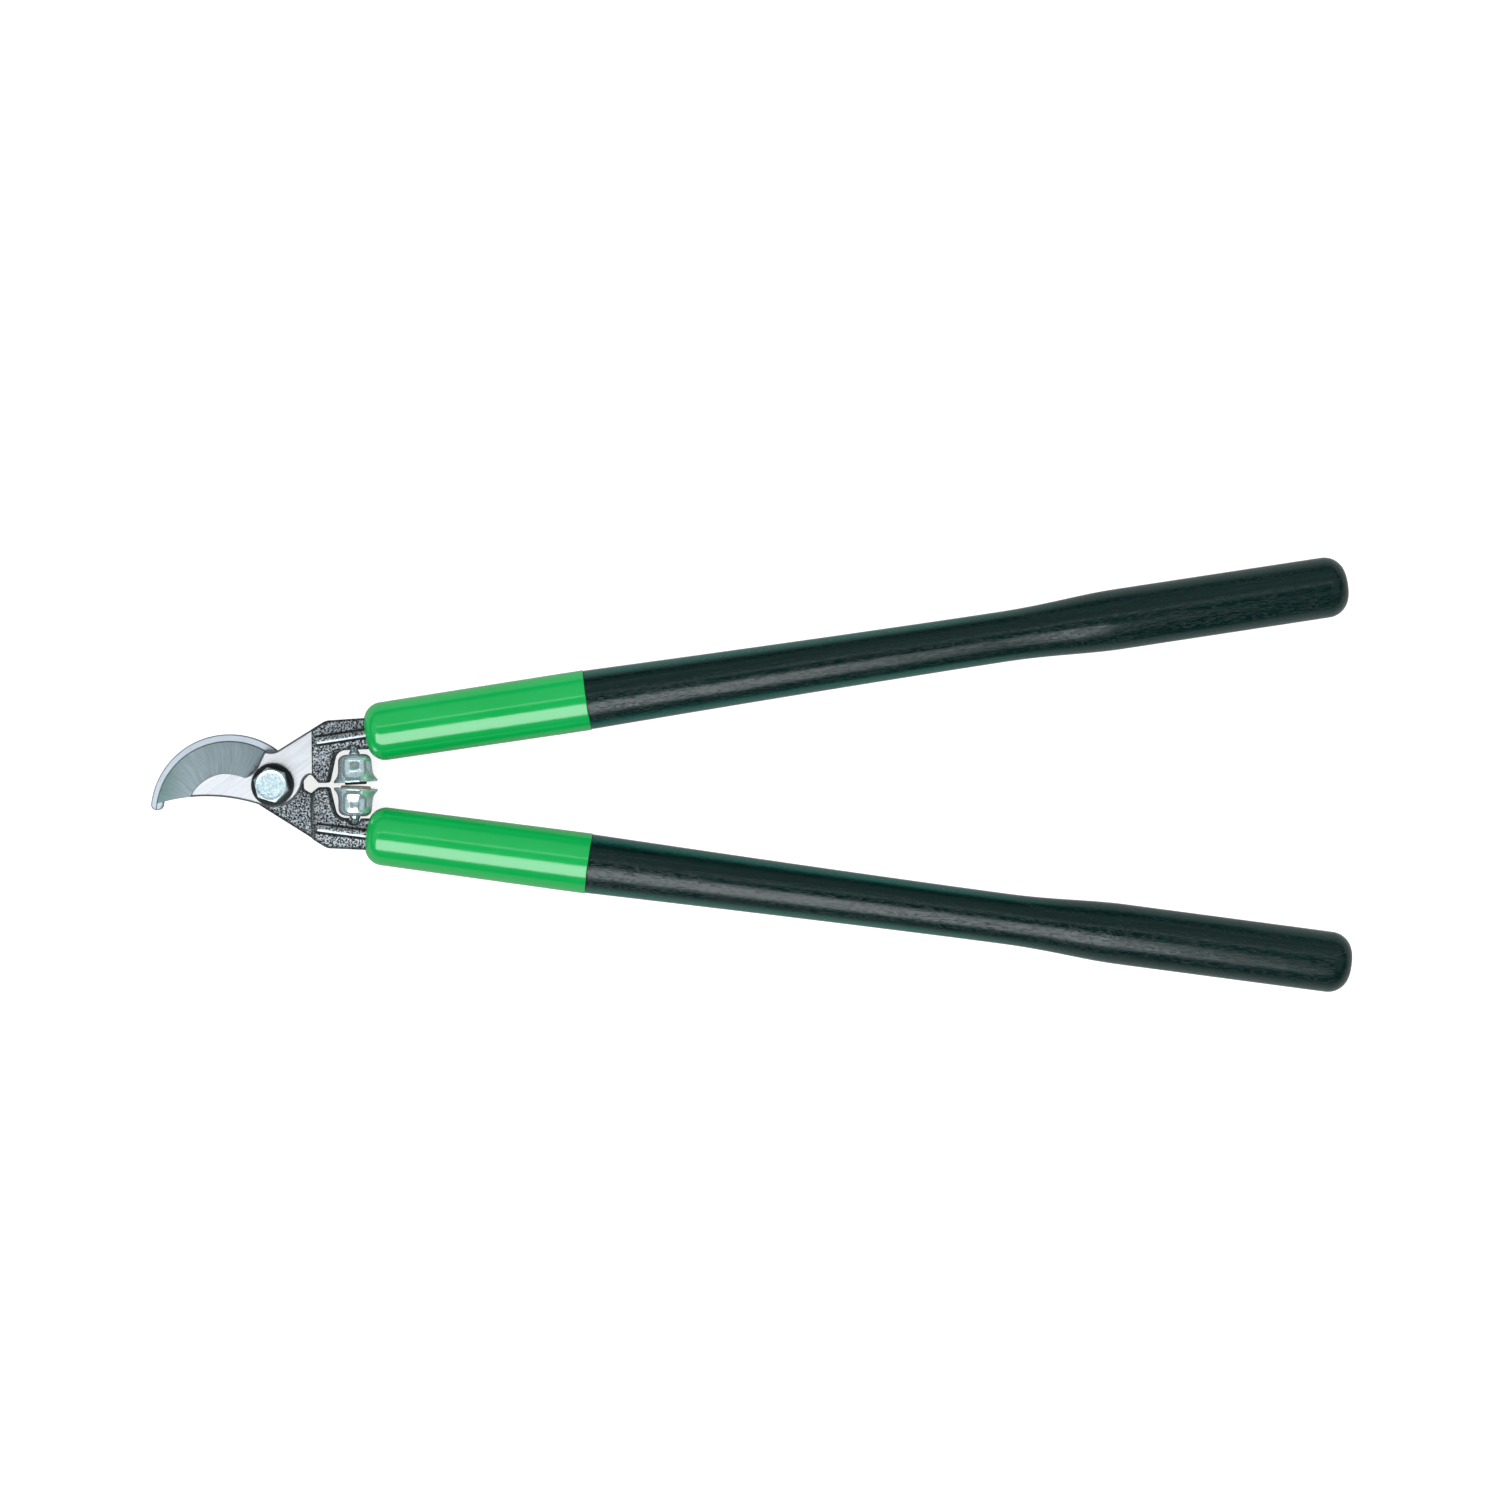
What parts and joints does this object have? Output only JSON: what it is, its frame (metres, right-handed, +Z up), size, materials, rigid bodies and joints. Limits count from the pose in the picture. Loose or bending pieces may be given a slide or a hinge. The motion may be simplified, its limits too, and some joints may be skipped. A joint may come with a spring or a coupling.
{
  "type": "bypass loppers",
  "caption": "Two-handed bypass loppers: forged blade arm and hook arm on one bolt, cupped bumpers, smooth sleeves and straight wooden handles.",
  "frame": {"origin": "on the pivot's axis, in the plane that the closed tool rests on: the centre of the pivot bolt's end face", "axes": "+X along the tool's centreline to the handle ends, +Y towards the blade arm's handle, +Z up, from the nut side to the bolt head"},
  "size_m": [0.7098, 0.2572, 0.0358],
  "materials": {
    "blade_steel": "ground and brushed, forged texture on the shank",
    "forged_steel": "speckled as-forged grey, bright machined rim",
    "zinc_plate": "zinc plated",
    "black_steel": "blackened",
    "bright_plate": "bright plated",
    "black_rubber": "matt",
    "tan_rubber": "matt",
    "lacquered_wood": "dark green-black stain under gloss lacquer",
    "ferrule_steel": "plain",
    "green_plastic": "glossy",
    "locking_plastic": "satin"
  },
  "bodies": {
    "hook_side": {"hook_arm": "forged_steel", "pivot_bolt": "zinc_plate", "pivot_washer_front": "black_steel", "pivot_washer_back": "zinc_plate", "pivot_nut": "zinc_plate", "nut_insert": "locking_plastic", "hook_bumper_cup": "bright_plate", "hook_bumper_stud": "bright_plate", "hook_bumper_buffer": "tan_rubber", "hook_handle": "lacquered_wood", "hook_ferrule": "ferrule_steel", "hook_tang_pin": "ferrule_steel", "hook_sleeve": "green_plastic"},
    "blade_side": {"blade_arm": "blade_steel", "blade_bumper_cup": "bright_plate", "blade_bumper_stud": "bright_plate", "blade_bumper_buffer": "black_rubber", "blade_handle": "lacquered_wood", "blade_ferrule": "ferrule_steel", "blade_tang_pin": "ferrule_steel", "blade_sleeve": "green_plastic"}
  },
  "joints": [
    {"name": "pivot", "type": "hinge", "parent": "hook_side", "child": "blade_side", "pos_m": [0, 0, 0.0179], "axis": [0, 0, 1], "range_deg": [0, 67]}
  ]
}
